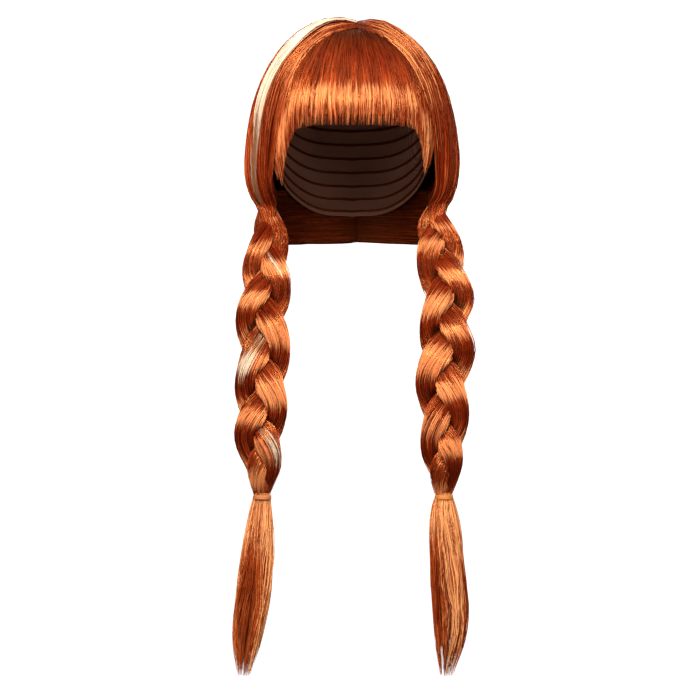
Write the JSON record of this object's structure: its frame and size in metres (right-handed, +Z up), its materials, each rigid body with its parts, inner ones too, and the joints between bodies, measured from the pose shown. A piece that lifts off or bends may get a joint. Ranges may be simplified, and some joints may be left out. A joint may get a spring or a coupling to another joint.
{
  "type": "pigtail wig",
  "caption": "Wig with a full fringe, a centre parting and two long plaited pigtails with loose ends, on a stretch cap.",
  "frame": {"origin": "top of the hollow for the head, on the inner face of the cap at the crown", "axes": "+Z up along the wearer's head, -Y out of the face, +X to the wearer's left"},
  "size_m": [0.2173, 0.2134, 0.6015],
  "materials": {
    "copper_hair": "glossy synthetic hair, copper orange",
    "deep_hair": "synthetic hair in shade, deep copper",
    "tail_hair": "synthetic hair, slightly paler copper",
    "pale_hair": "glossy synthetic hair, platinum blonde",
    "cap_mesh": "dark brown stretch mesh",
    "hair_tie": "satin elastic, ochre"
  },
  "bodies": {
    "root": {"wig_cap": "cap_mesh", "fringe": "copper_hair", "side_hair_right": "copper_hair", "side_hair_left": "copper_hair", "nape_hair_right": "deep_hair", "nape_hair_left": "deep_hair", "pale_streak": "pale_hair", "braid_right_strand_1": "copper_hair", "braid_right_strand_2": "copper_hair", "braid_right_strand_3": "copper_hair", "braid_left_strand_1": "copper_hair", "braid_left_strand_2": "copper_hair", "braid_left_strand_3": "copper_hair", "tie_right": "hair_tie", "tie_left": "hair_tie", "tail_right": "tail_hair", "tail_left": "tail_hair"}
  },
  "joints": []
}
